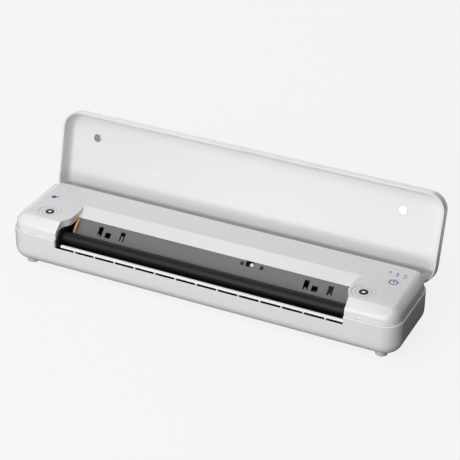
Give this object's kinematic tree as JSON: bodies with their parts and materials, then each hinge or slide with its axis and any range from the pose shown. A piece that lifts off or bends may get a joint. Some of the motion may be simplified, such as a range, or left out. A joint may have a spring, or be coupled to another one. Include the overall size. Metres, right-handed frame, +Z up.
{
  "type": "a4 portable thermal printer",
  "caption": "Slim long portable thermal printer with rounded corners, a hinged lid standing open, a black platen roller in its mouth and a slotted exit plate.",
  "frame": {"origin": "under the middle of the box round the printer with its lid open, on the plane that the feet stand on", "axes": "+X along the case towards its right end as the user sees it, +Y towards the hinge at the back, +Z up"},
  "size_m": [0.3116, 0.1004, 0.0907],
  "materials": {
    "shell_white": "gloss moulded",
    "cover_white": "gloss moulded",
    "lid_white": "gloss moulded",
    "guide_white": "semi-gloss",
    "foot_rubber": "matt",
    "screw_steel": "zinc plated",
    "frame_black": "matt black",
    "plate_grey": "satin grey",
    "sensor_white": "matt",
    "ribbon_orange": "satin film",
    "bush_ivory": "acetal",
    "rod_steel": "ground",
    "spring_steel": "bright",
    "motor_can": "plated",
    "board_green": "solder mask",
    "battery_wrap": "shrink film",
    "socket_steel": "bright",
    "switch_black": "matt",
    "light_blue": "clear tinted",
    "magnet_black": "matt",
    "post_white": "gloss",
    "disc_steel": "polished",
    "roller_rubber": "satin",
    "gear_ivory": "acetal",
    "pinion_brass": "machined",
    "sink_aluminium": "extruded",
    "head_ceramic": "glazed"
  },
  "bodies": {
    "base": {"bottom_shell": "shell_white", "rubber_feet": "foot_rubber", "case_screws": "screw_steel", "top_cover": "cover_white", "paper_guide": "guide_white", "left_side_plate": "frame_black", "right_side_plate": "frame_black", "exit_plate": "plate_grey", "paper_sensor": "sensor_white", "ribbon_cables": "ribbon_orange", "platen_bushes": "bush_ivory", "head_rod": "rod_steel", "head_springs": "spring_steel", "idler_stud": "rod_steel", "drive_motor": "motor_can", "main_board": "board_green", "battery_pack": "battery_wrap", "usb_board": "board_green", "usb_socket": "socket_steel", "right_key_board": "board_green", "left_key_board": "board_green", "key_switches": "switch_black", "light_pipes": "light_blue", "catch_bezels": "cover_white", "catch_magnets": "magnet_black", "catch_posts": "post_white", "hinge_pins": "rod_steel"},
    "lid": {"lid_shell": "lid_white", "lid_discs": "disc_steel"},
    "platen": {"platen_rubber": "roller_rubber", "platen_shaft": "rod_steel", "platen_gear": "gear_ivory"},
    "idler": {"idler_gear": "gear_ivory"},
    "pinion": {"motor_pinion": "pinion_brass"},
    "print_head_unit": {"heat_sink": "sink_aluminium", "print_head": "head_ceramic"},
    "power_button": {"power_key": "cover_white"},
    "feed_button": {"feed_key": "cover_white"}
  },
  "joints": [
    {"name": "lid_hinge", "type": "hinge", "parent": "base", "child": "lid", "pos_m": [0, 0.0177, 0.0258], "axis": [1, 0, 0], "range_deg": [0, 104.1]},
    {"name": "platen_spin", "type": "hinge", "parent": "base", "child": "platen", "pos_m": [0, -0.0386, 0.0266], "axis": [1, 0, 0], "continuous": true},
    {"name": "idler_spin", "type": "hinge", "parent": "base", "child": "idler", "pos_m": [-0.1178, -0.02356, 0.02113], "axis": [1, 0, 0], "continuous": true},
    {"name": "pinion_spin", "type": "hinge", "parent": "base", "child": "pinion", "pos_m": [-0.1178, -0.01229, 0.01702], "axis": [1, 0, 0], "continuous": true},
    {"name": "head_pivot", "type": "hinge", "parent": "base", "child": "print_head_unit", "pos_m": [0, -0.0267, 0.0155], "axis": [1, 0, 0], "range_deg": [0, 2.5], "stiffness_Nm_per_rad": 0.85, "springref_deg": -0.34, "deforming": ["head_springs"]},
    {"name": "power_key_press", "type": "slide", "parent": "base", "child": "power_button", "axis": [0, 0, -1], "range_m": [0, 0.0004], "stiffness_N_per_m": 3000},
    {"name": "feed_key_press", "type": "slide", "parent": "base", "child": "feed_button", "axis": [0, 0, -1], "range_m": [0, 0.0004], "stiffness_N_per_m": 3000}
  ],
  "couplings": [
    {"joint": "idler_spin", "follows": "platen_spin", "ratio": -0.77778},
    {"joint": "pinion_spin", "follows": "platen_spin", "ratio": 2.3333}
  ]
}
